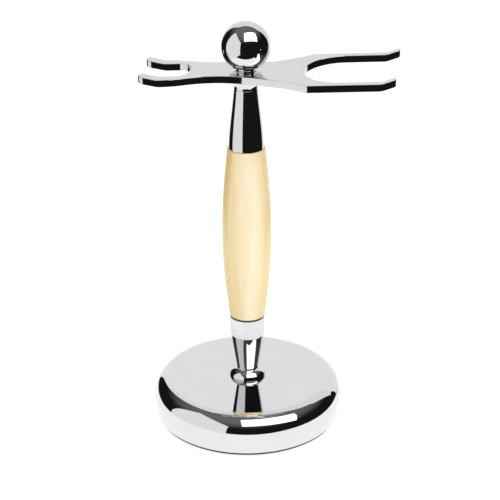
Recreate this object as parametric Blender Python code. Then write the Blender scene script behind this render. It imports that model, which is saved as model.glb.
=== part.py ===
"""Razor and brush stand: a weighted base, a turned column and a two-ended fork under a ball nut.

Run with: blender --background --python part.py
Units are metres, +Z is up. The origin is the centre of the base's underside, on the column's axis.
The long fork for the brush points along +X and the short fork for the razor along -X.
"""

from math import acos, asin, ceil, cos, degrees, pi, radians, sin, sqrt, tan

import bmesh
import bpy

MM = 0.001
GAP = 0.3 * MM  # clearance left between pieces that touch on the real object

# Heights of the joints between the pieces, from the underside of the pad.
PAD_TOP = 0.8 * MM
BASE_TOP = 14.8 * MM
FERRULE_TOP = 32.2 * MM
RING_TOP = 39.5 * MM
SEAL_TOP = 40.2 * MM
BARREL_TOP = 105.7 * MM
SLEEVE_TOP = 127.7 * MM
COLLAR_TOP = 131.65 * MM
PLATE_TOP = 134.25 * MM
NECK_TOP = 135.6 * MM

# Base
BASE_RADIUS = 35.0 * MM
BASE_BELT_HEIGHT = 7.6 * MM  # where the base is widest
BASE_FLAT_RADIUS = 28.2 * MM  # radius of the flat top inside the rounded shoulder
BASE_FOOT_RADIUS = 34.4 * MM
PAD_RADIUS = 33.4 * MM
SHELL_WALL = 2.6 * MM  # thickness of the shell under its flat top
SHELL_INNER_RADIUS = 30.8 * MM
SHELL_INNER_CORNER = 3.5 * MM
BALLAST_POCKET_RADIUS = 6.5 * MM  # room for the nut and washers in the ballast

# Column
ROD_RADIUS = 2.4 * MM  # M5 rod, drawn without its thread
BORE_RADIUS = 2.75 * MM
SPIGOT_RADIUS = 4.1 * MM
SPIGOT_LENGTH = 4.2 * MM
FLANGE_RADIUS = 6.65 * MM
FLANGE_EDGE = 0.2 * MM  # height of the upright edge under the domed foot
DOME_HALF_HEIGHT = 3.8 * MM
WAIST_RADIUS = 3.95 * MM  # where the domed foot meets the taper
FERRULE_TOP_RADIUS = 6.0 * MM
RING_FOOT_RADIUS = 6.25 * MM
RING_TOP_RADIUS = 6.38 * MM
BARREL_FOOT_RADIUS = 6.55 * MM
BARREL_BELLY_RADIUS = 8.82 * MM
BARREL_BELLY_HEIGHT = 73.5 * MM
BARREL_HEAD_RADIUS = 6.74 * MM
SLEEVE_FOOT_RADIUS = 6.3 * MM
SLEEVE_HEAD_RADIUS = 4.22 * MM
COLLAR_RADIUS = 5.25 * MM
ROD_BOTTOM = 2.2 * MM
ROD_TOP = 114.5 * MM

# Fork plate, seen from above; its outline is mirrored about the X axis.
PLATE_THICKNESS = 2.6 * MM
BRUSH_REACH = 52.2 * MM
BRUSH_HALF_WIDTH = 16.6 * MM
BRUSH_SLOT_HALF = 13.55 * MM
BRUSH_SLOT_CENTRE = 33.5 * MM  # centre of the slot's round root
RAZOR_REACH = 36.0 * MM
RAZOR_HALF_WIDTH = 10.6 * MM
RAZOR_SLOT_HALF = 6.4 * MM
RAZOR_SLOT_ROOT = 19.4 * MM
RAZOR_SLOT_CORNER = 4.7 * MM  # corner radius at the slot's root
WAIST_X = -4.3 * MM
WAIST_HALF_WIDTH = 7.6 * MM
WAIST_ARC_RADIUS = 43.0 * MM
RAZOR_FLARE_START = -10.5 * MM
RAZOR_FLARE_END = -29.5 * MM
BRUSH_TIP_CORNER = 1.3 * MM  # corner radius of the narrow prong ends
RAZOR_TIP_CORNER = 1.9 * MM
SHOULDER_RADIUS = 2.6 * MM
BRUSH_TIP = (46.6 * MM, 5.5 * MM, radians(18))  # where the bend starts, its radius and its angle
RAZOR_TIP = (28.4 * MM, 5.5 * MM, radians(12.5))
BEND_CUTS = 4
SEAT_HALF = 8.0 * MM  # the plate is level this far each side of its hole
ARM_SET = radians(3.5)  # the brush arm rises and the razor arm falls at this angle

# Ball nut
BALL_RADIUS = 8.65 * MM
BALL_CENTRE = 142.75 * MM
NECK_RADIUS = 3.85 * MM
STUD_BOTTOM = 116.0 * MM
STUD_TOP = 144.0 * MM

# Fasteners under the base
NUT_ACROSS_FLATS = 8.0 * MM
NUT_HEIGHT = 4.0 * MM
WASHER_RADIUS = 5.0 * MM
WASHER_THICKNESS = 1.0 * MM
LOCK_WASHER_RADIUS = 4.5 * MM
LOCK_WASHER_THICKNESS = 1.2 * MM

COLOURS = {  # colour, metallic, roughness
    "chrome": ((0.86, 0.87, 0.88), 1.0, 0.06),
    "satin": ((0.80, 0.80, 0.81), 1.0, 0.32),
    "ivory": ((0.88, 0.78, 0.52), 0.0, 0.25),
    "felt": ((0.03, 0.03, 0.035), 0.0, 0.95),
    "rubber": ((0.02, 0.02, 0.02), 0.0, 0.6),
    "iron": ((0.16, 0.16, 0.17), 0.8, 0.6),
    "zinc": ((0.62, 0.63, 0.62), 1.0, 0.4),
}


def clear_scene():
    for obj in list(bpy.data.objects):
        bpy.data.objects.remove(obj, do_unlink=True)


def material(finish):
    found = bpy.data.materials.get(finish)
    if found:
        return found
    colour, metallic, roughness = COLOURS[finish]
    made = bpy.data.materials.new(finish)
    made.use_nodes = True
    shader = made.node_tree.nodes["Principled BSDF"]
    shader.inputs["Base Color"].default_value = (*colour, 1.0)
    shader.inputs["Metallic"].default_value = metallic
    shader.inputs["Roughness"].default_value = roughness
    return made


def finish_object(name, bm, finish, sharp=35):
    """Turns the bmesh into a named object with outward faces and smooth round sides."""
    bmesh.ops.recalc_face_normals(bm, faces=bm.faces)
    mesh = bpy.data.meshes.new(name)
    bm.to_mesh(mesh)
    bm.free()
    mesh.shade_smooth()
    mesh.set_sharp_from_angle(angle=radians(sharp))
    mesh.materials.append(material(finish))
    obj = bpy.data.objects.new(name, mesh)
    bpy.context.scene.collection.objects.link(obj)
    return obj


# ---------------------------------------------------------------- turned profiles, as (radius, height) points


def ellipse(centre, half_r, half_z, start, end, count):
    """Points on an ellipse quarter or part; angles in degrees from the outward radius, upwards positive."""
    step = (end - start) / count
    angles = [radians(start + step * i) for i in range(count + 1)]
    return [(centre[0] + half_r * cos(a), centre[1] + half_z * sin(a)) for a in angles]


def curve(start, pull_a, pull_b, end, count):
    """Cubic Bezier curve between two points, ends included."""
    controls = (start, pull_a, pull_b, end)
    points = []
    for i in range(count + 1):
        t = i / count
        weights = ((1 - t) ** 3, 3 * t * (1 - t) ** 2, 3 * t * t * (1 - t), t**3)
        points.append(tuple(sum(w * p[k] for w, p in zip(weights, controls)) for k in (0, 1)))
    return points


def turned(name, profile, finish, steps=48, closed=True):
    """Spins a profile about Z. A closed profile is a ring's section; an open one meets the axis."""
    bm = bmesh.new()
    verts = [bm.verts.new((r, 0.0, z)) for r, z in profile]
    pairs = list(zip(verts, verts[1:]))
    if closed:
        pairs.append((verts[-1], verts[0]))
    edges = [bm.edges.new(pair) for pair in pairs]
    bmesh.ops.spin(bm, geom=verts + edges, axis=(0, 0, 1), cent=(0, 0, 0), steps=steps, angle=2 * pi)
    bmesh.ops.remove_doubles(bm, verts=bm.verts, dist=0.001 * MM)
    return finish_object(name, bm, finish)


def tube(name, bore, outer, bottom, top, finish, steps=32, chamfer=0.25 * MM):
    """A plain ring or bush with its outer edges broken."""
    profile = [
        (bore, bottom),
        (outer - chamfer, bottom),
        (outer, bottom + chamfer),
        (outer, top - chamfer),
        (outer - chamfer, top),
        (bore, top),
    ]
    return turned(name, profile, finish, steps)


def rod(name, radius, bottom, top, finish, steps=24, chamfer=0.5 * MM):
    profile = [
        (0.0, bottom),
        (radius - chamfer, bottom),
        (radius, bottom + chamfer),
        (radius, top - chamfer),
        (radius - chamfer, top),
        (0.0, top),
    ]
    return turned(name, profile, finish, steps, closed=False)


# ---------------------------------------------------------------- base


def base_outer():
    """Outside of the base from the foot's rim up to the flat top: a full bulge with a round shoulder."""
    foot = PAD_TOP + GAP
    rim = 0.5 * MM
    lower_half_z = 10.0 * MM
    angle = asin((BASE_BELT_HEIGHT - foot - rim) / lower_half_z)
    lower_half_r = (BASE_RADIUS - BASE_FOOT_RADIUS) / (1 - cos(angle))
    belt_centre = (BASE_RADIUS - lower_half_r, BASE_BELT_HEIGHT)
    lower = ellipse(belt_centre, lower_half_r, lower_half_z, -degrees(angle), 0, 5)
    shoulder_half_r = BASE_RADIUS - BASE_FLAT_RADIUS
    shoulder_half_z = BASE_TOP - BASE_BELT_HEIGHT
    upper = ellipse((BASE_FLAT_RADIUS, BASE_BELT_HEIGHT), shoulder_half_r, shoulder_half_z, 0, 90, 9)
    return [(BASE_FOOT_RADIUS - rim, foot)] + lower + upper[1:]


def base_shell():
    foot = PAD_TOP + GAP
    ceiling = BASE_TOP - SHELL_WALL
    corner = SHELL_INNER_CORNER
    inside = [(BORE_RADIUS, ceiling)]
    inside += ellipse((SHELL_INNER_RADIUS - corner, ceiling - corner), corner, corner, 90, 0, 4)
    inside += [(SHELL_INNER_RADIUS, foot)]
    turned("base_shell", base_outer() + [(BORE_RADIUS, BASE_TOP)] + inside, "chrome", 48)
    return ceiling


def base_parts():
    ceiling = base_shell()
    corner = SHELL_INNER_CORNER
    floor = PAD_TOP + 2 * GAP
    turned(
        "base_pad",
        [(0.0, 0.0), (PAD_RADIUS, 0.0), (PAD_RADIUS, PAD_TOP), (0.0, PAD_TOP)],
        "felt",
        48,
        closed=False,
    )
    pocket_top = floor + NUT_HEIGHT + LOCK_WASHER_THICKNESS + WASHER_THICKNESS + 4 * GAP
    outer = SHELL_INNER_RADIUS - GAP
    chamfer = 0.5 * MM
    top = ceiling - GAP
    weight = [(BORE_RADIUS, pocket_top), (BALLAST_POCKET_RADIUS, pocket_top), (BALLAST_POCKET_RADIUS, floor)]
    weight += [(outer - chamfer, floor), (outer, floor + chamfer)]
    weight += ellipse((outer - corner, top - corner), corner, corner, 0, 90, 4)
    weight += [(BORE_RADIUS, top)]
    turned("base_weight", weight, "iron", 36)
    washer_bottom = pocket_top - GAP - WASHER_THICKNESS
    tube("base_washer", BORE_RADIUS, WASHER_RADIUS, washer_bottom, pocket_top - GAP, "zinc", 28, 0.15 * MM)
    lock_top = washer_bottom - GAP
    lock_bottom = lock_top - LOCK_WASHER_THICKNESS
    lock_washer("base_lock_washer", BORE_RADIUS, LOCK_WASHER_RADIUS, lock_bottom, lock_top, "zinc")
    hex_nut("base_nut", lock_bottom - GAP - NUT_HEIGHT, lock_bottom - GAP, "zinc")


def lock_washer(name, bore, outer, bottom, top, finish, steps=24, opening=radians(14)):
    """Split spring washer: a flat bar bent round, its two ends a small way apart."""
    bm = bmesh.new()
    section = [(bore, bottom), (outer, bottom), (outer, top), (bore, top)]
    rings = []
    for i in range(steps + 1):
        angle = opening / 2 + (2 * pi - opening) * i / steps
        rings.append([bm.verts.new((r * cos(angle), r * sin(angle), z)) for r, z in section])
    for ring, following in zip(rings, rings[1:]):
        for k in range(4):
            bm.faces.new((ring[k], ring[(k + 1) % 4], following[(k + 1) % 4], following[k]))
    bm.faces.new(rings[0])
    bm.faces.new(rings[-1])
    finish_object(name, bm, finish)


def hex_nut(name, bottom, top, finish, per_side=4):
    """Plain hexagon nut round the tie rod, its bore drawn without a thread."""
    bm = bmesh.new()
    count = 6 * per_side
    rings = []
    for i in range(count):
        angle = 2 * pi * i / count
        off_flat = angle % (pi / 3) - pi / 6
        flat = NUT_ACROSS_FLATS / 2 / cos(off_flat)
        section = [(BORE_RADIUS, bottom), (flat, bottom), (flat, top), (BORE_RADIUS, top)]
        rings.append([bm.verts.new((r * cos(angle), r * sin(angle), z)) for r, z in section])
    for ring, following in zip(rings, rings[1:] + rings[:1]):
        for k in range(4):
            bm.faces.new((ring[k], ring[(k + 1) % 4], following[(k + 1) % 4], following[k]))
    finish_object(name, bm, finish)


# ---------------------------------------------------------------- column


def foot_ferrule():
    """Domed foot on the base, a crease where it meets the waist, and a slow flare up to the ring."""
    bottom = BASE_TOP + GAP
    crease = acos(WAIST_RADIUS / FLANGE_RADIUS)
    outside = [(FLANGE_RADIUS - 0.35 * MM, bottom)]
    outside += ellipse((0.0, bottom + FLANGE_EDGE), FLANGE_RADIUS, DOME_HALF_HEIGHT, 0, degrees(crease), 6)
    crease_height = outside[-1][1]
    top = FERRULE_TOP - GAP / 2
    outside += curve(
        (WAIST_RADIUS, crease_height),
        (WAIST_RADIUS + 0.6 * MM, crease_height + 4 * MM),
        (FERRULE_TOP_RADIUS - 0.35 * MM, FERRULE_TOP - 4 * MM),
        (FERRULE_TOP_RADIUS, top),
        6,
    )[1:]
    spigot_top = SEAL_TOP + SPIGOT_LENGTH
    outside += [(SPIGOT_RADIUS, top), (SPIGOT_RADIUS, spigot_top)]
    turned("foot_ferrule", outside + [(BORE_RADIUS, spigot_top), (BORE_RADIUS, bottom)], "chrome", 36)


def ring_and_seal():
    socket = SPIGOT_RADIUS + GAP
    ring = [
        (socket, FERRULE_TOP + GAP / 2),
        (RING_FOOT_RADIUS, FERRULE_TOP + GAP / 2),
        (RING_TOP_RADIUS, RING_TOP - GAP / 2),
        (socket, RING_TOP - GAP / 2),
    ]
    turned("handle_ring", ring, "satin", 36)
    seal_radius = RING_TOP_RADIUS - 0.1 * MM
    tube("handle_seal", socket, seal_radius, RING_TOP + GAP / 2, SEAL_TOP - GAP / 2, "rubber", 32, 0.1 * MM)


def handle_barrel():
    """Bored handle: a long swelling widest above the middle, with a socket for a spigot at each end."""
    bottom = SEAL_TOP + GAP / 2
    top = BARREL_TOP - GAP / 2
    edge = 0.35 * MM
    outside = [(BARREL_FOOT_RADIUS - edge, bottom), (BARREL_FOOT_RADIUS, bottom + edge)]
    outside += curve(
        (BARREL_FOOT_RADIUS + 0.02 * MM, bottom + 2 * edge),
        (BARREL_FOOT_RADIUS + 1.15 * MM, bottom + 11 * MM),
        (BARREL_BELLY_RADIUS, BARREL_BELLY_HEIGHT - 15 * MM),
        (BARREL_BELLY_RADIUS, BARREL_BELLY_HEIGHT),
        10,
    )
    outside += curve(
        (BARREL_BELLY_RADIUS, BARREL_BELLY_HEIGHT),
        (BARREL_BELLY_RADIUS, BARREL_BELLY_HEIGHT + 12 * MM),
        (BARREL_HEAD_RADIUS + 1.0 * MM, top - 9 * MM),
        (BARREL_HEAD_RADIUS, top - edge),
        10,
    )[1:]
    outside += [(BARREL_HEAD_RADIUS - edge, top)]
    socket = SPIGOT_RADIUS + GAP
    foot_socket = bottom + SPIGOT_LENGTH + GAP
    head_socket = top - SPIGOT_LENGTH - GAP
    inside = [(socket, top), (socket, head_socket), (BORE_RADIUS, head_socket)]
    inside += [(BORE_RADIUS, foot_socket), (socket, foot_socket), (socket, bottom)]
    turned("handle_barrel", outside + inside, "ivory", 36)


def upper_sleeve():
    """Tapered sleeve, tapped right through: the tie rod enters from below and the ball's stud from above."""
    bottom = BARREL_TOP + GAP / 2
    top = SLEEVE_TOP - GAP / 2
    outside = curve(
        (SLEEVE_FOOT_RADIUS, bottom),
        (SLEEVE_FOOT_RADIUS - 0.15 * MM, bottom + 7 * MM),
        (SLEEVE_HEAD_RADIUS + 0.75 * MM, top - 8 * MM),
        (SLEEVE_HEAD_RADIUS, top),
        9,
    )
    spigot_bottom = BARREL_TOP - SPIGOT_LENGTH
    foot = [(BORE_RADIUS, spigot_bottom), (SPIGOT_RADIUS, spigot_bottom), (SPIGOT_RADIUS, bottom)]
    turned("upper_sleeve", foot + outside + [(BORE_RADIUS, top)], "chrome", 36)


def plate_collar():
    """Small flared cup that carries the fork plate."""
    bottom = SLEEVE_TOP + GAP / 2
    top = COLLAR_TOP - GAP
    outside = curve(
        (SLEEVE_HEAD_RADIUS, bottom),
        (SLEEVE_HEAD_RADIUS, bottom + 1.6 * MM),
        (COLLAR_RADIUS - 0.3 * MM, top - 1.4 * MM),
        (COLLAR_RADIUS, top),
        6,
    )
    turned("plate_collar", outside + [(BORE_RADIUS, top), (BORE_RADIUS, bottom)], "chrome", 32)


def tie_rod():
    rod("tie_rod", ROD_RADIUS, ROD_BOTTOM, ROD_TOP, "zinc")


# ---------------------------------------------------------------- fork plate, as (x, y) points with y >= 0


def corner(before, point, after, radius, count):
    """Rounds the corner at point between straight lines to before and after."""
    to_before = unit(before, point)
    to_after = unit(after, point)
    turn = acos(to_before[0] * to_after[0] + to_before[1] * to_after[1])
    reach = radius / tan(turn / 2)
    start = (point[0] + to_before[0] * reach, point[1] + to_before[1] * reach)
    end = (point[0] + to_after[0] * reach, point[1] + to_after[1] * reach)
    middle = unit((to_before[0] + to_after[0], to_before[1] + to_after[1]), (0.0, 0.0))
    centre_reach = radius / sin(turn / 2)
    centre = (point[0] + middle[0] * centre_reach, point[1] + middle[1] * centre_reach)
    points = []
    for i in range(count + 1):
        t = i / count
        aim = (start[0] * (1 - t) + end[0] * t, start[1] * (1 - t) + end[1] * t)
        way = unit(aim, centre)
        points.append((centre[0] + way[0] * radius, centre[1] + way[1] * radius))
    return points


def unit(point, origin):
    dx, dy = point[0] - origin[0], point[1] - origin[1]
    length = sqrt(dx * dx + dy * dy)
    return dx / length, dy / length


def half_outline():
    """One side of the plate, from the brush slot's root round the outside to the razor slot's root."""
    points = []
    slot_steps = 12
    for i in range(slot_steps + 1):
        angle = pi - i * pi / 2 / slot_steps
        points.append((BRUSH_SLOT_CENTRE + BRUSH_SLOT_HALF * cos(angle), BRUSH_SLOT_HALF * sin(angle)))
    inner_tip = (BRUSH_REACH, BRUSH_SLOT_HALF)
    outer_tip = (BRUSH_REACH, BRUSH_HALF_WIDTH)
    points += corner((0.0, BRUSH_SLOT_HALF), inner_tip, outer_tip, BRUSH_TIP_CORNER, 4)
    points += corner(inner_tip, outer_tip, (0.0, BRUSH_HALF_WIDTH), BRUSH_TIP_CORNER, 4)

    waist_centre_y = WAIST_HALF_WIDTH + WAIST_ARC_RADIUS
    drop = waist_centre_y - BRUSH_HALF_WIDTH
    shoulder_x = WAIST_X + sqrt(WAIST_ARC_RADIUS**2 - drop**2)
    waist = []
    arc_steps = 8
    for i in range(arc_steps + 1):
        x = shoulder_x + (WAIST_X - shoulder_x) * i / arc_steps
        waist.append((x, waist_centre_y - sqrt(WAIST_ARC_RADIUS**2 - (x - WAIST_X) ** 2)))
    shoulder = (shoulder_x, BRUSH_HALF_WIDTH)
    points += corner(outer_tip, shoulder, waist[1], SHOULDER_RADIUS, 3)
    points += waist[1:]

    run = RAZOR_FLARE_START - RAZOR_FLARE_END
    rise = RAZOR_HALF_WIDTH - WAIST_HALF_WIDTH
    flare_radius = (run * run + rise * rise) / (4 * rise)
    flare_steps = 4
    for i in range(flare_steps + 1):
        dx = run / 2 * i / flare_steps
        y = WAIST_HALF_WIDTH + flare_radius - sqrt(flare_radius**2 - dx * dx)
        points.append((RAZOR_FLARE_START - dx, y))
    for i in range(flare_steps - 1, -1, -1):
        dx = run / 2 * i / flare_steps
        y = RAZOR_HALF_WIDTH - flare_radius + sqrt(flare_radius**2 - dx * dx)
        points.append((RAZOR_FLARE_END + dx, y))

    outer_tip = (-RAZOR_REACH, RAZOR_HALF_WIDTH)
    inner_tip = (-RAZOR_REACH, RAZOR_SLOT_HALF)
    points += corner((0.0, RAZOR_HALF_WIDTH), outer_tip, inner_tip, RAZOR_TIP_CORNER, 4)
    points += corner(outer_tip, inner_tip, (0.0, RAZOR_SLOT_HALF), RAZOR_TIP_CORNER, 4)
    root = (-RAZOR_SLOT_ROOT, RAZOR_SLOT_HALF)
    points += corner(inner_tip, root, (-RAZOR_SLOT_ROOT, 0.0), RAZOR_SLOT_CORNER, 6)
    points.append((-RAZOR_SLOT_ROOT, 0.0))
    hole_steps = 10
    for i in range(hole_steps + 1):
        angle = pi - pi * i / hole_steps
        points.append((BORE_RADIUS * cos(angle), BORE_RADIUS * sin(angle)))
    return points


def arm_rise(x):
    """How far the plate's surface lies above its seat at x, before the prong tips are pressed up."""
    beyond = max(0.0, abs(x) - SEAT_HALF) * tan(ARM_SET)
    return beyond if x > 0 else -beyond


def tip_rise(x):
    """How far a prong's tip is pressed up at x: nothing, then a round bend, then a straight ramp."""
    start, radius, angle = BRUSH_TIP if x > 0 else RAZOR_TIP
    along = abs(x) - start
    if along <= 0:
        return 0.0
    bend = radius * sin(angle)
    if along < bend:
        return radius - sqrt(radius * radius - along * along)
    return radius * (1 - cos(angle)) + (along - bend) * tan(angle)


def bend_lines():
    lines = [-SEAT_HALF, SEAT_HALF]
    for side, (start, radius, angle) in ((1, BRUSH_TIP), (-1, RAZOR_TIP)):
        for i in range(BEND_CUTS + 1):
            lines.append(side * (start + radius * sin(angle * i / BEND_CUTS)))
    return lines


def fork_plate():
    """Stamped plate: the outline cut from sheet, with the four prong tips pressed up."""
    bm = bmesh.new()
    outline = [bm.verts.new((x, y, 0.0)) for x, y in half_outline()]
    bm.faces.new(outline)
    bmesh.ops.triangulate(bm, faces=bm.faces)
    for x in bend_lines():
        geom = bm.verts[:] + bm.edges[:] + bm.faces[:]
        bmesh.ops.bisect_plane(bm, geom=geom, dist=0.001 * MM, plane_co=(x, 0, 0), plane_no=(1, 0, 0))
    bmesh.ops.mirror(bm, geom=bm.verts[:] + bm.edges[:] + bm.faces[:], axis="Y", merge_dist=0.001 * MM)
    bmesh.ops.remove_doubles(bm, verts=bm.verts, dist=0.001 * MM)
    bmesh.ops.recalc_face_normals(bm, faces=bm.faces)

    top_verts = bm.verts[:]
    top_faces = bm.faces[:]
    rim = [edge for edge in bm.edges if edge.is_boundary]
    under = {vert: bm.verts.new((vert.co.x, vert.co.y, -PLATE_THICKNESS)) for vert in top_verts}
    for face in top_faces:
        bm.faces.new([under[vert] for vert in reversed(face.verts)])
    for edge in rim:
        first, second = edge.verts
        bm.faces.new((first, second, under[second], under[first]))
    for vert in bm.verts:
        vert.co.z += PLATE_TOP + arm_rise(vert.co.x) + tip_rise(vert.co.x)
    finish_object("fork_plate", bm, "chrome", 30)


# ---------------------------------------------------------------- ball nut


def ball_nut():
    """Ball with a flat underside, bored for its stud, and the washer under it."""
    tube("neck_washer", BORE_RADIUS, NECK_RADIUS, PLATE_TOP + GAP, NECK_TOP, "chrome", 32, 0.2 * MM)
    bottom = NECK_TOP + GAP
    angle = asin((bottom - BALL_CENTRE) / BALL_RADIUS)
    steps = ceil(degrees(pi / 2 - angle) / 7)
    outside = ellipse((0.0, BALL_CENTRE), BALL_RADIUS, BALL_RADIUS, degrees(angle), 90, steps)
    outside[-1] = (0.0, BALL_CENTRE + BALL_RADIUS)
    bore_end = STUD_TOP + GAP
    inside = [(0.0, bore_end), (BORE_RADIUS, bore_end), (BORE_RADIUS, bottom)]
    turned("ball_finial", inside + outside, "chrome", 36, closed=False)
    rod("ball_stud", ROD_RADIUS, STUD_BOTTOM, STUD_TOP, "zinc")


def main():
    clear_scene()
    base_parts()
    foot_ferrule()
    ring_and_seal()
    handle_barrel()
    upper_sleeve()
    tie_rod()
    plate_collar()
    fork_plate()
    ball_nut()


main()
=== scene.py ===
"""Looks for the razor and brush stand: polished metal, ivory resin, the pad, and a small photo table.

Lengths are metres. The turned pieces that show, the rod and the stud are rebuilt here in finer shape, and the
fork with rounded edges. The heights of their ends, the radii of base, pad, ball, rod and stud, and the fork's
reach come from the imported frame. The other sizes stand here.
"""

from math import acos, asin, cos, degrees, pi, radians, sin, sqrt, tan

import bmesh
import bpy
from mathutils import Matrix, Vector

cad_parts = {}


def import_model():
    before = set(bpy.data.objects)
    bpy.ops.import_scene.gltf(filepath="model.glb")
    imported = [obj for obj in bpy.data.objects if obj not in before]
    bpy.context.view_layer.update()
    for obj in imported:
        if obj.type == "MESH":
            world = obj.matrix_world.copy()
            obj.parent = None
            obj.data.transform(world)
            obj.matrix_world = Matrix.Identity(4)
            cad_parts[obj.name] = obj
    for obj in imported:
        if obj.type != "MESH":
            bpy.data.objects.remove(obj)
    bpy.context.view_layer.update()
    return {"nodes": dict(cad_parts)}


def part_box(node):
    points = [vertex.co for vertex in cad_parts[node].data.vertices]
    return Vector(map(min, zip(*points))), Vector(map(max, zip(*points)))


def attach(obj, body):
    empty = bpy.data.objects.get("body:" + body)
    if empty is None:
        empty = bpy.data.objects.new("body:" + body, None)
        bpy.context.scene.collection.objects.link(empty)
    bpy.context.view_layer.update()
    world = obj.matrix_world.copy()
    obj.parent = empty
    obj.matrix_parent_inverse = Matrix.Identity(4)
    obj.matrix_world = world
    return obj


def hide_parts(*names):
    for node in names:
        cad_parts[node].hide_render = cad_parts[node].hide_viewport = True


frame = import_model()

MM = 0.001
STEPS = 224  # sides of a turned piece


# ---------------------------------------------------------------- sizes read from the frame


def low(node):
    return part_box(node)[0][2]


def high(node):
    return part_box(node)[1][2]


def radius(node):
    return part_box(node)[1][0]


HALF_GAP = 0.15 * MM  # half of the clearance that the CAD pieces keep
SEAM = 0.02 * MM  # what is left between finished pieces that touch
PLATE_THICKNESS = 2.6 * MM

BASE_TOP = high("base_shell")
RING_FOOT = low("handle_ring") - HALF_GAP
RING_HEAD = high("handle_ring") + HALF_GAP
SEAL_HEAD = high("handle_seal") + HALF_GAP
BARREL_HEAD = high("handle_barrel") + HALF_GAP
SLEEVE_HEAD = high("upper_sleeve") + HALF_GAP
PLATE_TOP = low("neck_washer") - 2 * HALF_GAP
PLATE_FOOT = PLATE_TOP - PLATE_THICKNESS
BALL_FOOT = low("ball_finial")
BALL_RADIUS = radius("ball_finial")
BALL_CENTRE = high("ball_finial") - BALL_RADIUS


# ---------------------------------------------------------------- camera

FOCAL = 3.503  # focal length over the width of the picture
EYE_BACK = 0.57
EYE_UP = 0.336
EYE_SIDE = 0.0011
PITCH = radians(25.37)
ROLL = radians(-0.32)
AZIMUTH = radians(7.1)


def camera():
    data = bpy.data.cameras.new("camera")
    data.sensor_width = 36.0
    data.lens = FOCAL * data.sensor_width
    data.clip_start = 0.01
    obj = bpy.data.objects.new("camera", data)
    bpy.context.scene.collection.objects.link(obj)
    forward = Vector((0, cos(PITCH), -sin(PITCH)))
    lift = Vector((0, sin(PITCH), cos(PITCH)))
    side = Vector((1, 0, 0))
    right = side * cos(ROLL) + lift * sin(ROLL)
    up = lift * cos(ROLL) - side * sin(ROLL)
    turn = Matrix.Rotation(AZIMUTH, 4, "Z")
    axes = Matrix((right, up, -forward)).transposed().to_4x4()
    obj.matrix_world = turn @ Matrix.Translation((EYE_SIDE, -EYE_BACK, EYE_UP)) @ axes
    bpy.context.scene.camera = obj


# ---------------------------------------------------------------- node materials


class Nodes:
    """Short calls for building one material's node tree."""

    def __init__(self, name):
        self.material = bpy.data.materials.new(name)
        self.material.use_nodes = True
        self.tree = self.material.node_tree
        self.shader = self.tree.nodes["Principled BSDF"]

    def set(self, **values):
        for key, value in values.items():
            self.shader.inputs[key.replace("_", " ")].default_value = value

    def add(self, kind, **settings):
        node = self.tree.nodes.new("ShaderNode" + kind)
        for key, value in settings.items():
            if key in node.inputs:
                node.inputs[key].default_value = value
            else:
                setattr(node, key, value)
        return node

    def link(self, source, target):
        self.tree.links.new(source, target)

    def place(self, scale):
        """Object coordinates stretched by scale."""
        where = self.add("TexCoord")
        mapping = self.add("Mapping")
        mapping.inputs["Scale"].default_value = scale
        self.link(where.outputs["Object"], mapping.inputs["Vector"])
        return mapping.outputs["Vector"]

    def noise(self, scale, detail=4.0, roughness=0.5, stretch=(1, 1, 1)):
        node = self.add("TexNoise")
        node.inputs["Scale"].default_value = scale
        node.inputs["Detail"].default_value = detail
        node.inputs["Roughness"].default_value = roughness
        self.link(self.place(stretch), node.inputs["Vector"])
        return node.outputs["Fac"]

    def ramp(self, value, stops):
        """Maps value to colours; stops are (position, colour)."""
        node = self.add("ValToRGB")
        while len(node.color_ramp.elements) < len(stops):
            node.color_ramp.elements.new(0.5)
        for element, (position, colour) in zip(node.color_ramp.elements, stops):
            element.position = position
            element.color = (*colour, 1.0)
        self.link(value, node.inputs["Fac"])
        return node.outputs["Color"]

    def span(self, value, low_out, high_out, low_in=0.3, high_in=0.7):
        node = self.add("MapRange")
        node.inputs["From Min"].default_value = low_in
        node.inputs["From Max"].default_value = high_in
        node.inputs["To Min"].default_value = low_out
        node.inputs["To Max"].default_value = high_out
        self.link(value, node.inputs["Value"])
        return node.outputs["Result"]

    def colour(self, value, stops):
        self.link(self.ramp(value, stops), self.shader.inputs["Base Color"])

    def bump(self, height, strength, distance):
        node = self.add("Bump")
        node.inputs["Strength"].default_value = strength
        node.inputs["Distance"].default_value = distance
        self.link(height, node.inputs["Height"])
        self.link(node.outputs["Normal"], self.shader.inputs["Normal"])


def chrome():
    """Mirror plating with a breath of haze and hairline polishing marks."""
    n = Nodes("chrome")
    n.set(Metallic=1.0)
    haze = n.noise(90.0, 3.0, 0.6)
    n.colour(haze, ((0.3, (0.67, 0.67, 0.675)), (0.7, (0.70, 0.70, 0.705))))
    n.link(n.span(haze, 0.022, 0.05), n.shader.inputs["Roughness"])
    n.bump(n.noise(1400.0, 2.0, 0.5, (1, 1, 0.15)), 0.02, 0.00001)
    return n.material


def satin():
    """Fine lathe-turned satin finish on the band."""
    n = Nodes("satin")
    n.set(Metallic=0.4)
    rings = n.noise(900.0, 4.0, 0.6, (0.05, 0.05, 6.0))
    n.colour(rings, ((0.3, (0.84, 0.84, 0.85)), (0.7, (0.93, 0.93, 0.935))))
    n.link(n.span(rings, 0.42, 0.54), n.shader.inputs["Roughness"])
    n.bump(rings, 0.15, 0.00002)
    return n.material


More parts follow.
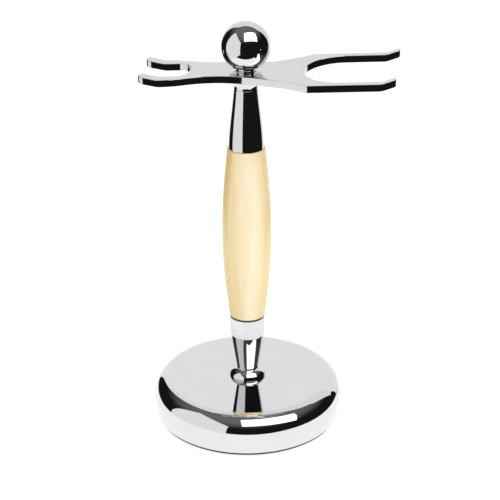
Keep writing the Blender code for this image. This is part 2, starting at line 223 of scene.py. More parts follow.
def ivory():
    """Cast resin in imitation of ivory: soft lengthwise bands, and painted shade that darkens the colour
    towards the outline, where the surface is seen at a slant.
    """
    n = Nodes("ivory")
    n.set(Roughness=0.22, IOR=1.5)
    n.set(Subsurface_Weight=0.12, Subsurface_Scale=0.004)
    broad = n.noise(110.0, 2.0, 0.5, (1, 1, 0.06))
    fine = n.noise(520.0, 4.0, 0.6, (1, 1, 0.035))
    mix = n.add("Math", operation="MULTIPLY_ADD")
    n.link(fine, mix.inputs[0])
    mix.inputs[1].default_value = 0.35
    n.link(broad, mix.inputs[2])
    tint = n.ramp(
        mix.outputs[0],
        (
            (0.45, (0.84, 0.67, 0.37)),
            (0.62, (0.92, 0.78, 0.50)),
            (0.78, (0.95, 0.86, 0.63)),
        ),
    )
    # Painted shade: the colour is darkened where the surface turns away from the camera, standing in for
    # light falling off at the barrel's sides.
    slant = n.add("LayerWeight", Blend=0.5)
    painted_edge_shade = n.ramp(slant.outputs["Facing"], ((0.08, (1.0, 1.0, 1.0)), (0.40, (0.92, 0.81, 0.58))))
    tint_with_painted_shade = n.add("VectorMath", operation="MULTIPLY")
    n.link(tint, tint_with_painted_shade.inputs[0])
    n.link(painted_edge_shade, tint_with_painted_shade.inputs[1])
    n.link(tint_with_painted_shade.outputs["Vector"], n.shader.inputs["Base Color"])
    n.link(n.span(fine, 0.16, 0.28), n.shader.inputs["Roughness"])
    n.bump(n.noise(700.0, 3.0, 0.5), 0.04, 0.00002)
    return n.material


def rubber():
    n = Nodes("rubber")
    grain = n.noise(2500.0, 3.0)
    n.colour(grain, ((0.3, (0.012, 0.012, 0.012)), (0.7, (0.03, 0.03, 0.03))))
    n.link(n.span(grain, 0.5, 0.75), n.shader.inputs["Roughness"])
    n.bump(grain, 0.2, 0.00005)
    return n.material


def felt():
    """Pressed black felt: matted fibres, very rough."""
    n = Nodes("felt")
    fibres = n.noise(1600.0, 6.0, 0.7, (1, 0.4, 1))
    n.colour(fibres, ((0.3, (0.008, 0.008, 0.009)), (0.75, (0.045, 0.045, 0.05))))
    n.set(Sheen_Weight=0.3, Sheen_Roughness=0.6)
    n.link(n.span(fibres, 0.88, 1.0), n.shader.inputs["Roughness"])
    n.bump(fibres, 0.6, 0.0002)
    return n.material


def cast_iron():
    n = Nodes("cast_iron")
    n.set(Metallic=0.8)
    pits = n.noise(700.0, 6.0, 0.65)
    n.colour(pits, ((0.35, (0.07, 0.07, 0.072)), (0.7, (0.17, 0.168, 0.165))))
    n.link(n.span(pits, 0.55, 0.8), n.shader.inputs["Roughness"])
    n.bump(pits, 0.5, 0.0002)
    return n.material


def zinc():
    """Zinc-plated steel fasteners, with a faint spangle."""
    n = Nodes("zinc")
    n.set(Metallic=1.0)
    spangle = n.noise(600.0, 5.0, 0.55)
    n.colour(spangle, ((0.3, (0.50, 0.51, 0.52)), (0.7, (0.72, 0.73, 0.72))))
    n.link(n.span(spangle, 0.25, 0.42), n.shader.inputs["Roughness"])
    n.bump(spangle, 0.1, 0.00004)
    return n.material


MATERIALS = {
    "chrome": chrome(),
    "satin_metal": satin(),
    "ivory_resin": ivory(),
    "seal": rubber(),
    "felt": felt(),
    "cast_iron": cast_iron(),
    "zinc_plate": zinc(),
}


# ---------------------------------------------------------------- turned profiles, as (radius, height) points


def ellipse(centre, half_r, half_z, start, end, count):
    """Points on part of an ellipse; angles in degrees from the outward radius, upwards positive."""
    step = (end - start) / count
    angles = [radians(start + step * i) for i in range(count + 1)]
    return [(centre[0] + half_r * cos(a), centre[1] + half_z * sin(a)) for a in angles]


def curve(start, pull_a, pull_b, end, count=24):
    """Cubic Bezier curve between two points, ends included."""
    controls = (start, pull_a, pull_b, end)
    points = []
    for i in range(count + 1):
        t = i / count
        weights = ((1 - t) ** 3, 3 * t * (1 - t) ** 2, 3 * t * t * (1 - t), t**3)
        points.append(tuple(sum(w * p[k] for w, p in zip(weights, controls)) for k in (0, 1)))
    return points


def unit(point, origin):
    dx, dy = point[0] - origin[0], point[1] - origin[1]
    length = sqrt(dx * dx + dy * dy)
    return dx / length, dy / length


def corner(before, point, after, size, count=4):
    """Rounds the corner at point, between the ways to before and to after, to a radius of size."""
    a, b = unit(before, point), unit(after, point)
    half = acos(max(-1.0, min(1.0, a[0] * b[0] + a[1] * b[1]))) / 2
    reach = size / tan(half)
    middle = unit((a[0] + b[0], a[1] + b[1]), (0.0, 0.0))
    centre = (point[0] + middle[0] * size / sin(half), point[1] + middle[1] * size / sin(half))
    start = (point[0] + a[0] * reach, point[1] + a[1] * reach)
    end = (point[0] + b[0] * reach, point[1] + b[1] * reach)
    points = []
    for i in range(count + 1):
        t = i / count
        way = unit((start[0] * (1 - t) + end[0] * t, start[1] * (1 - t) + end[1] * t), centre)
        points.append((centre[0] + way[0] * size, centre[1] + way[1] * size))
    return points


def mesh_object(name, bm, material, sharp=40):
    bmesh.ops.recalc_face_normals(bm, faces=bm.faces)
    mesh = bpy.data.meshes.new(name)
    bm.to_mesh(mesh)
    bm.free()
    mesh.shade_smooth()
    mesh.set_sharp_from_angle(angle=radians(sharp))
    mesh.materials.append(MATERIALS[material])
    obj = bpy.data.objects.new(name, mesh)
    bpy.context.scene.collection.objects.link(obj)
    return obj


def turned(name, profile, material, closed=True, steps=STEPS, sharp=40):
    """Spins a profile about Z. A closed profile is a ring's section; an open one meets the axis."""
    bm = bmesh.new()
    verts = [bm.verts.new((r, 0.0, z)) for r, z in profile]
    pairs = list(zip(verts, verts[1:])) + ([(verts[-1], verts[0])] if closed else [])
    edges = [bm.edges.new(pair) for pair in pairs]
    bmesh.ops.spin(bm, geom=verts + edges, axis=(0, 0, 1), cent=(0, 0, 0), steps=steps, angle=2 * pi)
    bmesh.ops.remove_doubles(bm, verts=bm.verts, dist=0.0005 * MM)
    return mesh_object(name, bm, material, sharp)


def stand_for(obj, node, body):
    """The usual two calls for a piece that stands for one CAD node."""
    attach(obj, body)
    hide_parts(node)


BORE = 2.75 * MM


# ---------------------------------------------------------------- base

BASE_BELT_HEIGHT = 7.6 * MM
BASE_FLAT_RADIUS = 28.2 * MM
BASE_FOOT_RADIUS = 34.4 * MM
BASE_RIM = 0.5 * MM
BASE_LOWER_HALF = 10.0 * MM
BASE_WALL = 2.6 * MM
BASE_INNER_RADIUS = 30.8 * MM


def base_shell():
    """Polished shell: flat top, round shoulder, full belly and a tucked-in foot."""
    foot, top, widest = low("base_shell"), high("base_shell"), radius("base_shell")
    angle = asin((BASE_BELT_HEIGHT - foot - BASE_RIM) / BASE_LOWER_HALF)
    tuck = (widest - BASE_FOOT_RADIUS) / (1 - cos(angle))
    outer = [(BASE_FOOT_RADIUS - BASE_RIM, foot)]
    outer += ellipse((widest - tuck, BASE_BELT_HEIGHT), tuck, BASE_LOWER_HALF, -degrees(angle), 0, 24)
    outer += ellipse(
        (BASE_FLAT_RADIUS, BASE_BELT_HEIGHT), widest - BASE_FLAT_RADIUS, top - BASE_BELT_HEIGHT, 0, 90, 48
    )[1:]
    outer += [(r * MM, top) for r in (22.0, 14.0, 8.0)] + [(BORE, top)]
    inner = BASE_INNER_RADIUS
    ceiling = top - BASE_WALL
    round_in = 3.5 * MM
    inside = [(BORE, ceiling)]
    inside += ellipse((inner - round_in, ceiling - round_in), round_in, round_in, 90, 0, 10)
    inside += [(inner, foot + 0.4 * MM), (inner + 0.4 * MM, foot)]
    stand_for(turned("base_shell_polished", outer + inside, "chrome"), "base_shell", "stand")


def base_pad():
    """Felt disc with a softly rounded edge."""
    top, wide = high("base_pad"), radius("base_pad")
    edge = 0.3 * MM
    profile = [(0.0, 0.0), (wide * 0.5, 0.0), (wide - edge, 0.0)]
    profile += corner((0.0, 0.0), (wide, 0.0), (wide, top), edge)
    profile += corner((wide, 0.0), (wide, top), (0.0, top), edge)
    profile += [(0.0, top)]
    stand_for(turned("felt_pad", profile, "felt", closed=False), "base_pad", "stand")


# ---------------------------------------------------------------- column

FLANGE_RADIUS = 6.65 * MM
WAIST_RADIUS = 3.95 * MM
DOME_HALF = 3.8 * MM
FLANGE_EDGE = 0.2 * MM  # height of the upright edge under the domed foot
FERRULE_TOP_RADIUS = 6.0 * MM
RING_FOOT_RADIUS = 6.25 * MM
RING_TOP_RADIUS = 6.38 * MM
BARREL_FOOT_RADIUS = 6.55 * MM
BARREL_BELLY_RADIUS = 8.82 * MM
BARREL_BELLY_HEIGHT = 73.5 * MM
BARREL_HEAD_RADIUS = 6.74 * MM
SLEEVE_FOOT_RADIUS = 6.3 * MM
SLEEVE_HEAD_RADIUS = 4.22 * MM
COLLAR_RADIUS = 5.25 * MM
NECK_RADIUS = 3.85 * MM
NECK_LIP = 0.18 * MM  # height of the lip above and below the cove
NECK_BREAK = 0.06 * MM
NECK_COVE = 0.75 * MM  # depth of the cove


def foot_ferrule():
    """Domed foot, a crease, and a slow flare up to the band."""
    bottom = BASE_TOP + SEAM
    top = RING_FOOT - SEAM
    dome_base = bottom + FLANGE_EDGE
    crease = acos(WAIST_RADIUS / FLANGE_RADIUS)
    outside = [(FLANGE_RADIUS - 0.1 * MM, bottom)]
    outside += ellipse((0.0, dome_base), FLANGE_RADIUS, DOME_HALF, 0, degrees(crease), 24)
    crease_height = outside[-1][1]
    outside += curve(
        (WAIST_RADIUS, crease_height),
        (WAIST_RADIUS + 0.6 * MM, crease_height + 4 * MM),
        (FERRULE_TOP_RADIUS - 0.35 * MM, top - 4 * MM),
        (FERRULE_TOP_RADIUS, top - 0.15 * MM),
    )[1:]
    outside += [(FERRULE_TOP_RADIUS - 0.15 * MM, top)]
    profile = outside + [(BORE, top), (BORE, bottom)]
    stand_for(turned("foot_ferrule_polished", profile, "chrome", sharp=25), "foot_ferrule", "stand")


def handle_ring():
    foot, head = RING_FOOT, RING_HEAD - SEAM
    edge = 0.2 * MM
    outer_foot = (RING_FOOT_RADIUS, foot)
    outer_head = (RING_TOP_RADIUS, head)
    profile = [(BORE, foot)] + corner((0.0, foot), outer_foot, outer_head, edge)
    profile += corner(outer_foot, outer_head, (0.0, head), edge) + [(BORE, head)]
    stand_for(turned("satin_band", profile, "satin_metal"), "handle_ring", "stand")


def handle_seal():
    foot, head = RING_HEAD, SEAL_HEAD - SEAM
    wide = RING_TOP_RADIUS - 0.18 * MM
    bulge = ellipse((wide - 0.1 * MM, (foot + head) / 2), 0.1 * MM, (head - foot) / 2, -90, 90, 8)
    profile = [(BORE, foot)] + bulge + [(BORE, head)]
    stand_for(turned("seam_washer", profile, "seal"), "handle_seal", "stand")


def handle_barrel():
    """Turned and polished resin, widest above the middle, its two ends eased over."""
    foot, head = SEAL_HEAD, BARREL_HEAD - SEAM
    edge = 0.35 * MM
    outside = ellipse((BARREL_FOOT_RADIUS - edge, foot + edge), edge, edge, -90, 0, 8)
    outside += curve(
        (BARREL_FOOT_RADIUS + 0.02 * MM, foot + 2 * edge),
        (BARREL_FOOT_RADIUS + 1.15 * MM, foot + 11 * MM),
        (BARREL_BELLY_RADIUS, BARREL_BELLY_HEIGHT - 15 * MM),
        (BARREL_BELLY_RADIUS, BARREL_BELLY_HEIGHT),
        48,
    )
    outside += curve(
        (BARREL_BELLY_RADIUS, BARREL_BELLY_HEIGHT),
        (BARREL_BELLY_RADIUS, BARREL_BELLY_HEIGHT + 12 * MM),
        (BARREL_HEAD_RADIUS + 1.0 * MM, head - 9 * MM),
        (BARREL_HEAD_RADIUS, head - edge),
        48,
    )[1:]
    outside += ellipse((BARREL_HEAD_RADIUS - edge, head - edge), edge, edge, 0, 90, 8)[1:]
    profile = outside + [(BORE, head), (BORE, foot)]
    stand_for(turned("ivory_barrel", profile, "ivory_resin"), "handle_barrel", "stand")


def upper_sleeve():
    foot, head = BARREL_HEAD, SLEEVE_HEAD - SEAM
    outside = curve(
        (SLEEVE_FOOT_RADIUS, foot + 0.12 * MM),
        (SLEEVE_FOOT_RADIUS - 0.15 * MM, foot + 7 * MM),
        (SLEEVE_HEAD_RADIUS + 0.75 * MM, head - 8 * MM),
        (SLEEVE_HEAD_RADIUS, head - 0.1 * MM),
        40,
    )
    profile = [(BORE, foot), (SLEEVE_FOOT_RADIUS - 0.12 * MM, foot)] + outside
    profile += [(SLEEVE_HEAD_RADIUS - 0.1 * MM, head), (BORE, head)]
    stand_for(turned("sleeve_polished", profile, "chrome"), "upper_sleeve", "stand")


def plate_collar():
    """Flared cup under the fork, with a rolled lip."""
    foot, head = SLEEVE_HEAD, PLATE_FOOT - SEAM
    lip = 0.35 * MM
    outside = [(SLEEVE_HEAD_RADIUS - 0.1 * MM, foot)]
    outside += curve(
        (SLEEVE_HEAD_RADIUS, foot + 0.1 * MM),
        (SLEEVE_HEAD_RADIUS, foot + 1.6 * MM),
        (COLLAR_RADIUS - 0.5 * MM, head - 2 * lip - 1.2 * MM),
        (COLLAR_RADIUS - 0.1 * MM, head - 2 * lip),
    )
    outside += ellipse((COLLAR_RADIUS - lip, head - lip), lip, lip, -50, 90, 10)
    profile = outside + [(BORE, head), (BORE, foot)]
    stand_for(turned("collar_polished", profile, "chrome", sharp=30), "plate_collar", "stand")


# ---------------------------------------------------------------- fork plate, as (x, y) points with y >= 0

BRUSH_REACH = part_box("fork_plate")[1][0]
BRUSH_HALF_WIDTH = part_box("fork_plate")[1][1]
BRUSH_SLOT_HALF = 13.55 * MM
BRUSH_SLOT_CENTRE = 33.5 * MM
RAZOR_REACH = -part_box("fork_plate")[0][0]
RAZOR_HALF_WIDTH = 10.6 * MM
RAZOR_SLOT_HALF = 6.4 * MM
RAZOR_SLOT_ROOT = 19.4 * MM
RAZOR_SLOT_CORNER = 4.7 * MM
WAIST_X = -4.3 * MM
WAIST_HALF_WIDTH = 7.6 * MM
WAIST_ARC_RADIUS = 43.0 * MM
RAZOR_FLARE_START = -10.5 * MM
RAZOR_FLARE_END = -29.5 * MM
BRUSH_TIP_CORNER = 1.3 * MM  # corner radius of the narrow prong ends
RAZOR_TIP_CORNER = 1.9 * MM
SHOULDER_RADIUS = 2.6 * MM
BRUSH_TIP = (46.6 * MM, 5.5 * MM, radians(18))  # where the bend starts, its radius and its angle
RAZOR_TIP = (28.4 * MM, 5.5 * MM, radians(12.5))
BEND_CUTS = 8
SEAT_HALF = 8.0 * MM  # the plate is level this far each side of its hole
ARM_SET = radians(3.5)  # the brush arm rises and the razor arm falls at this angle
SET_BLEND = 1.5 * MM  # half the length over which the set eases in
PLATE_EDGE = 0.2 * MM  # radius worn on the plate's edges by polishing
EDGE_STEPS = 5


def half_outline():
    """One side of the plate, from the brush slot's root round the outside to the razor slot's root."""
    points = []
    slot_steps = 32
    for i in range(slot_steps + 1):
        angle = pi - i * pi / 2 / slot_steps
        points.append((BRUSH_SLOT_CENTRE + BRUSH_SLOT_HALF * cos(angle), BRUSH_SLOT_HALF * sin(angle)))
    inner_tip = (BRUSH_REACH, BRUSH_SLOT_HALF)
    outer_tip = (BRUSH_REACH, BRUSH_HALF_WIDTH)
    points += corner((0.0, BRUSH_SLOT_HALF), inner_tip, outer_tip, BRUSH_TIP_CORNER, 10)
    points += corner(inner_tip, outer_tip, (0.0, BRUSH_HALF_WIDTH), BRUSH_TIP_CORNER, 10)

    waist_centre_y = WAIST_HALF_WIDTH + WAIST_ARC_RADIUS
    drop = waist_centre_y - BRUSH_HALF_WIDTH
    shoulder_x = WAIST_X + sqrt(WAIST_ARC_RADIUS**2 - drop**2)
    waist = []
    arc_steps = 32
    for i in range(arc_steps + 1):
        x = shoulder_x + (WAIST_X - shoulder_x) * i / arc_steps
        waist.append((x, waist_centre_y - sqrt(WAIST_ARC_RADIUS**2 - (x - WAIST_X) ** 2)))
    shoulder = (shoulder_x, BRUSH_HALF_WIDTH)
    points += corner(outer_tip, shoulder, waist[1], SHOULDER_RADIUS, 6)
    points += waist[1:]

    run = RAZOR_FLARE_START - RAZOR_FLARE_END
    rise = RAZOR_HALF_WIDTH - WAIST_HALF_WIDTH
    flare_radius = (run * run + rise * rise) / (4 * rise)
    flare_steps = 16
    for i in range(flare_steps + 1):
        dx = run / 2 * i / flare_steps
        y = WAIST_HALF_WIDTH + flare_radius - sqrt(flare_radius**2 - dx * dx)
        points.append((RAZOR_FLARE_START - dx, y))
    for i in range(flare_steps - 1, -1, -1):
        dx = run / 2 * i / flare_steps
        y = RAZOR_HALF_WIDTH - flare_radius + sqrt(flare_radius**2 - dx * dx)
        points.append((RAZOR_FLARE_END + dx, y))

    outer_tip = (-RAZOR_REACH, RAZOR_HALF_WIDTH)
    inner_tip = (-RAZOR_REACH, RAZOR_SLOT_HALF)
    points += corner((0.0, RAZOR_HALF_WIDTH), outer_tip, inner_tip, RAZOR_TIP_CORNER, 10)
    points += corner(outer_tip, inner_tip, (0.0, RAZOR_SLOT_HALF), RAZOR_TIP_CORNER, 10)
    root = (-RAZOR_SLOT_ROOT, RAZOR_SLOT_HALF)
    points += corner(inner_tip, root, (-RAZOR_SLOT_ROOT, 0.0), RAZOR_SLOT_CORNER, 16)
    return points


def whole_outline():
    """The closed outline, starting at the brush slot's root, without repeated points."""
    half = half_outline()
    other = [(x, -y) for x, y in reversed(half[1:])]
    points = []
    for point in half + other:
        if not points or (Vector(point) - Vector(points[-1])).length > 0.01 * MM:
            points.append(point)
    return points


def inset(outline, distance):
    """An anticlockwise outline moved outwards by distance; a negative distance moves it inwards."""
    moved = []
    count = len(outline)
    for i, point in enumerate(outline):
        before, after = Vector(outline[i - 1]), Vector(outline[(i + 1) % count])
        here = Vector(point)
        first, second = (here - before).normalized(), (after - here).normalized()
        normal = Vector((first.y + second.y, -first.x - second.x)).normalized()
        stretch = 1 / max(0.5, normal.dot(Vector((first.y, -first.x))))
        moved.append(tuple(here + normal * distance * stretch))
    return moved


def arm_rise(x):
    """How far the surface lies above its seat at x, before the prong tips are pressed up."""
    beyond = abs(x) - SEAT_HALF
    if beyond < -SET_BLEND:
        return 0.0
    if beyond < SET_BLEND:
        beyond = (beyond + SET_BLEND) ** 2 / (4 * SET_BLEND)
    return beyond * tan(ARM_SET) * (1 if x > 0 else -1)


def tip_rise(x):
    """How far a prong's tip is pressed up at x: nothing, then a round bend, then a straight ramp."""
    start, bend_radius, angle = BRUSH_TIP if x > 0 else RAZOR_TIP
    along = abs(x) - start
    if along <= 0:
        return 0.0
    bend = bend_radius * sin(angle)
    if along < bend:
        return bend_radius - sqrt(bend_radius * bend_radius - along * along)
    return bend_radius * (1 - cos(angle)) + (along - bend) * tan(angle)


def bend_lines():
    lines = []
    for i in range(BEND_CUTS + 1):
        eased = SEAT_HALF - SET_BLEND + 2 * SET_BLEND * i / BEND_CUTS
        lines += [eased, -eased]
    for side, (start, bend_radius, angle) in ((1, BRUSH_TIP), (-1, RAZOR_TIP)):
        for i in range(BEND_CUTS + 1):
            lines.append(side * (start + bend_radius * sin(angle * i / BEND_CUTS)))
    return lines


def edge_rings(outline, sign):
    """Loops from the top face's rim down to the under face's rim, rounded at both edges."""
    rings = []
    for i in range(EDGE_STEPS + 1):
        angle = pi / 2 * i / EDGE_STEPS
        rings.append((PLATE_EDGE * (1 - sin(angle)), -PLATE_EDGE * (1 - cos(angle))))
    rings += [(away, -PLATE_THICKNESS - depth) for away, depth in reversed(rings)]
    return [[(x, y, z) for x, y in inset(outline, sign * away)] for away, z in rings]


def fork_plate():
    """Stamped, polished plate: rounded edges, a round hole for the stud, and four prong tips pressed up."""
    bm = bmesh.new()
    hole_steps = 48
    turns = [2 * pi * i / hole_steps for i in range(hole_steps)]
    hole = [(BORE * cos(turn), BORE * sin(turn)) for turn in turns]
    caps = {0: [], -1: []}
    for outline, sign in ((whole_outline(), -1), (hole, 1)):
        rings = [[bm.verts.new(p) for p in ring] for ring in edge_rings(outline, sign)]
        count = len(outline)
        for upper, lower in zip(rings, rings[1:]):
            for i in range(count):
                j = (i + 1) % count
                bm.faces.new((upper[i], upper[j], lower[j], lower[i]))
        for end in caps:
            ring = rings[end]
            caps[end] += [bm.edges.get((ring[i], ring[(i + 1) % count])) for i in range(count)]
    for edges in caps.values():
        bmesh.ops.triangle_fill(bm, edges=edges, use_beauty=True, use_dissolve=False)
    for x in bend_lines():
        geom = bm.verts[:] + bm.edges[:] + bm.faces[:]
        bmesh.ops.bisect_plane(bm, geom=geom, dist=0.001 * MM, plane_co=(x, 0, 0), plane_no=(1, 0, 0))
    for vert in bm.verts:
        vert.co.z += PLATE_TOP + arm_rise(vert.co.x) + tip_rise(vert.co.x)
    obj = mesh_object("fork_polished", bm, "chrome", 50)
    obj.modifiers.new("normals", "WEIGHTED_NORMAL").keep_sharp = True
    stand_for(obj, "fork_plate", "fork")


# ---------------------------------------------------------------- ball nut


def neck_washer():
    """Turned washer with a deep round cove between two thin lips."""
    foot, head = PLATE_TOP + SEAM, BALL_FOOT - SEAM
    middle, half = (foot + head) / 2, (head - foot) / 2 - NECK_LIP
    profile = [(BORE, foot), (NECK_RADIUS - NECK_BREAK, foot), (NECK_RADIUS, foot + NECK_BREAK)]
    profile += ellipse((NECK_RADIUS, middle), -NECK_COVE, -half, 90, -90, 16)
    profile += [(NECK_RADIUS, head - NECK_BREAK), (NECK_RADIUS - NECK_BREAK, head), (BORE, head)]
    stand_for(turned("neck_washer_polished", profile, "chrome", sharp=30), "neck_washer", "neck")


def ball_finial():
    start = degrees(asin((BALL_FOOT - BALL_CENTRE) / BALL_RADIUS))
    outside = ellipse((0.0, BALL_CENTRE), BALL_RADIUS, BALL_RADIUS, start, 90, 110)
    outside[-1] = (0.0, BALL_CENTRE + BALL_RADIUS)
    bore_end = high("ball_stud") + 0.3 * MM
    profile = [(0.0, bore_end), (BORE, bore_end), (BORE, BALL_FOOT)] + outside
    stand_for(turned("ball_polished", profile, "chrome", closed=False), "ball_finial", "ball")


# ---------------------------------------------------------------- threads

PITCH_M5 = 0.8 * MM
THREAD_DEPTH = 0.42 * MM
ROWS_PER_TURN = 10
END_CHAMFER = 0.5 * MM
ROD_THREAD_TOP = 0.03
STUD_THREAD_TOP = 0.1375


def threaded(name, node, body, from_z, to_z):
    """A rod with a real thread cut between two heights; the rest of it stays plain."""
    wide = radius(node)
    foot, head = low(node), high(node)
    around = 48
    rows = int((head - foot) / PITCH_M5 * ROWS_PER_TURN)
    bm = bmesh.new()
    grid = []
    for k in range(rows + 1):
        z = foot + (head - foot) * k / rows
        ease = min(1.0, max(0.0, (z - from_z) / PITCH_M5), max(0.0, (to_z - z) / PITCH_M5))
        ease = max(0.0, ease)
        chamfer = max(0.0, END_CHAMFER - min(z - foot, head - z))
        row = []
        for i in range(around):
            turn = i / around
            phase = (z / PITCH_M5 - turn) % 1.0
            cut = THREAD_DEPTH * ease * min(1.0, max(0.0, 1.6 * abs(2 * phase - 1) - 0.2))
            r = wide - max(cut, chamfer)
            row.append(bm.verts.new((r * cos(2 * pi * turn), r * sin(2 * pi * turn), z)))
        grid.append(row)
    for lower, upper in zip(grid, grid[1:]):
        for i in range(around):
            j = (i + 1) % around
            bm.faces.new((lower[i], lower[j], upper[j], upper[i]))
    bm.faces.new(grid[0])
    bm.faces.new(grid[-1])
    stand_for(mesh_object(name, bm, "zinc_plate", 60), node, body)


# ---------------------------------------------------------------- carried-over pieces


def hidden_hardware():
    """Ballast, washers and nut inside the base keep their CAD shape and take a real surface."""
    for node, slot in (
        ("base_weight", "cast_iron"),
        ("base_washer", "zinc_plate"),
        ("base_lock_washer", "zinc_plate"),
        ("base_nut", "zinc_plate"),
    ):
        mesh = frame["nodes"][node].data
        mesh.materials.clear()
        mesh.materials.append(MATERIALS[slot])


# ---------------------------------------------------------------- photo table


def flat_material(name, colour, glow):
    """A backdrop surface, partly lit and partly glowing of itself."""
    made = bpy.data.materials.new(name)
    made.use_nodes = True
    shader = made.node_tree.nodes["Principled BSDF"]
    shader.inputs["Base Color"].default_value = (*colour, 1.0)
    shader.inputs["Roughness"].default_value = 0.6
    shader.inputs["Emission Color"].default_value = (*colour, 1.0)
    shader.inputs["Emission Strength"].default_value = glow
    return made


def card(name, corners, glow, camera=False, diffuse=True, glossy=True, tint=(1.0, 1.0, 1.0)):
    """A flat four-cornered card, which reflections see and the camera as a rule doesn't."""
    mesh = bpy.data.meshes.new(name)
    turn = Matrix.Rotation(AZIMUTH, 4, "Z")
    mesh.from_pydata([turn @ Vector(c) for c in corners], [], [(0, 1, 2, 3)])
    made = bpy.data.materials.new(name)
    made.use_nodes = True
    tree = made.node_tree
    tree.nodes.clear()
    light = tree.nodes.new("ShaderNodeEmission")
    light.inputs["Color"].default_value = (*tint, 1.0)
    light.inputs["Strength"].default_value = glow
    out = tree.nodes.new("ShaderNodeOutputMaterial")
    tree.links.new(light.outputs["Emission"], out.inputs["Surface"])
    mesh.materials.append(made)
    obj = bpy.data.objects.new(name, mesh)
    bpy.context.scene.collection.objects.link(obj)
    obj.visible_camera = camera
    obj.visible_diffuse = diffuse
    obj.visible_glossy = glossy
    obj.visible_shadow = False
    return obj


def upright(name, start, end, foot, head, glow, **seen):
    """A standing card between two floor points."""
    corners = [(*start, foot), (*end, foot), (*end, head), (*start, head)]
    return card(name, corners, glow, **seen)


EYE_LEVEL = BALL_CENTRE  # the tops of the high cards are counted from the ball
UNDER_PAD = -0.0002  # the table card's level
TABLE_FRONT = -0.150
TABLE_LEFT = -0.158
TABLE_RIGHT = 0.140
TABLE_BACK = 0.160
SIDE_SCREEN = -0.60
BACK_STEP = 0.15  # the back screen is a little dimmer above this height
TABLE_GLOW = 1.22
SIDE_GLOW = 1.03
BACK_GLOW_LOW = 1.04
BACK_GLOW_HIGH = 0.96
FAR_GLOW = 0.97
BOX_GLOW = 2.4
BOX_HEIGHT = 1.1  # above the ball; the box's other sizes follow from it


def photo_table():
    """White table, light screens at its left, back and far back, and one soft box above on the right."""
    table = [
        (TABLE_LEFT, TABLE_FRONT, UNDER_PAD),
        (TABLE_RIGHT, TABLE_FRONT, UNDER_PAD),
        (TABLE_RIGHT, TABLE_BACK, UNDER_PAD),
        (TABLE_LEFT, TABLE_BACK, UNDER_PAD),
    ]
    card("table_top", table, TABLE_GLOW, diffuse=False)
    side = ((SIDE_SCREEN, -1.30), (SIDE_SCREEN, 0.08))
    upright("left_screen", *side, -0.42, EYE_LEVEL + 0.83, SIDE_GLOW, diffuse=False)
    back = ((-0.12, TABLE_BACK), (0.225, TABLE_BACK))
    upright("back_screen_low", *back, 0.0, BACK_STEP, BACK_GLOW_LOW, diffuse=False)
    upright("back_screen_high", *back, BACK_STEP, EYE_LEVEL + 0.277, BACK_GLOW_HIGH, diffuse=False)
    far = ((-0.37, 0.60), (0.9, 0.60))
    upright("far_screen", *far, 0.33, EYE_LEVEL + 1.0, FAR_GLOW, diffuse=False)
    top = EYE_LEVEL + BOX_HEIGHT
    box = [
        (-0.17 * BOX_HEIGHT, -1.27 * BOX_HEIGHT, top),
        (1.80 * BOX_HEIGHT, -0.92 * BOX_HEIGHT, top),
        (0.68 * BOX_HEIGHT, 0.05 * BOX_HEIGHT, top),
        (-0.10 * BOX_HEIGHT, -0.20 * BOX_HEIGHT, top),
    ]
    card("soft_box", box, BOX_GLOW)


FLOOR_COLOUR = (0.92, 0.92, 0.92)
FLOOR_GLOW = 0.62
FLOOR_LEVEL = -0.0004  # just under the pad, so that the two faces never share a plane


def floor():
    """Pale floor that the camera sees and the stand throws its soft shadow on."""
    mesh = bpy.data.meshes.new("floor")
    reach = 6.0
    ends = ((-reach, -reach), (reach, -reach), (reach, reach), (-reach, reach))
    mesh.from_pydata([(x, y, FLOOR_LEVEL) for x, y in ends], [], [(0, 1, 2, 3)])
    mesh.materials.append(flat_material("floor", FLOOR_COLOUR, FLOOR_GLOW))
    obj = bpy.data.objects.new("floor", mesh)
    bpy.context.scene.collection.objects.link(obj)
    obj.visible_glossy = False


ROOM_DARK = 0.013
ROOM_CEILING = 0.22
SKY_FRONT = 0.86  # fill on matt surfaces from the camera's side
SKY_BACK = 0.34
SKY_TURN = 0.7  # how far front and back of the middle the fill goes on changing
CEILING_FROM = radians(25)
CEILING_TO = radians(70)
BACKDROP = 1.0


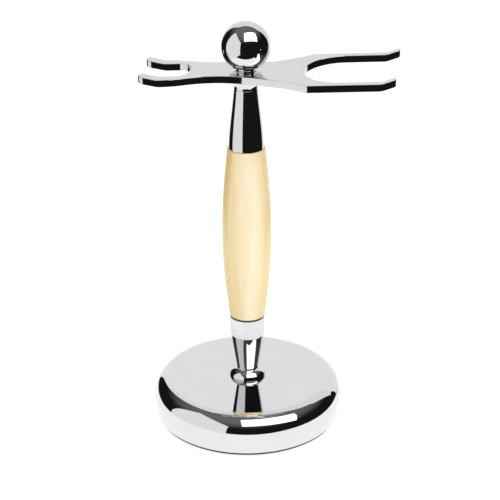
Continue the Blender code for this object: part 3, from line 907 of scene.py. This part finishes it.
def world():
    """White for the camera, a fill mostly from the front for matt surfaces, a dark room for reflections."""
    made = bpy.data.worlds.new("studio")
    bpy.context.scene.world = made
    made.use_nodes = True
    tree = made.node_tree
    tree.nodes.clear()
    add, link = tree.nodes.new, tree.links.new

    where = add("ShaderNodeTexCoord")
    parts = add("ShaderNodeSeparateXYZ")
    link(where.outputs["Generated"], parts.inputs["Vector"])
    height = add("ShaderNodeMapRange")
    height.interpolation_type = "SMOOTHSTEP"
    height.inputs["From Min"].default_value = sin(CEILING_FROM)
    height.inputs["From Max"].default_value = sin(CEILING_TO)
    height.inputs["To Min"].default_value = ROOM_DARK
    height.inputs["To Max"].default_value = ROOM_CEILING
    link(parts.outputs["Z"], height.inputs["Value"])

    ray = add("ShaderNodeLightPath")
    room = add("ShaderNodeBackground")
    link(height.outputs["Result"], room.inputs["Strength"])
    fill = add("ShaderNodeBackground")
    depth = add("ShaderNodeMapRange")
    depth.inputs["From Min"].default_value = -SKY_TURN
    depth.inputs["From Max"].default_value = SKY_TURN
    depth.inputs["To Min"].default_value = SKY_FRONT
    depth.inputs["To Max"].default_value = SKY_BACK
    link(parts.outputs["Y"], depth.inputs["Value"])
    link(depth.outputs["Result"], fill.inputs["Strength"])
    white = add("ShaderNodeBackground")
    white.inputs["Strength"].default_value = BACKDROP
    first = add("ShaderNodeMixShader")
    link(ray.outputs["Is Diffuse Ray"], first.inputs["Fac"])
    link(room.outputs["Background"], first.inputs[1])
    link(fill.outputs["Background"], first.inputs[2])
    second = add("ShaderNodeMixShader")
    link(ray.outputs["Is Camera Ray"], second.inputs["Fac"])
    link(first.outputs["Shader"], second.inputs[1])
    link(white.outputs["Background"], second.inputs[2])
    out = add("ShaderNodeOutputWorld")
    link(second.outputs["Shader"], out.inputs["Surface"])


# ---------------------------------------------------------------- the whole scene


def main():
    bpy.context.scene.view_settings.view_transform = "Standard"
    camera()
    base_shell()
    base_pad()
    foot_ferrule()
    handle_ring()
    handle_seal()
    handle_barrel()
    upper_sleeve()
    plate_collar()
    fork_plate()
    neck_washer()
    ball_finial()
    threaded("tie_rod_threaded", "tie_rod", "stand", 0.0, ROD_THREAD_TOP)
    threaded("ball_stud_threaded", "ball_stud", "ball", 0.0, STUD_THREAD_TOP)
    hidden_hardware()
    floor()
    photo_table()
    world()


main()
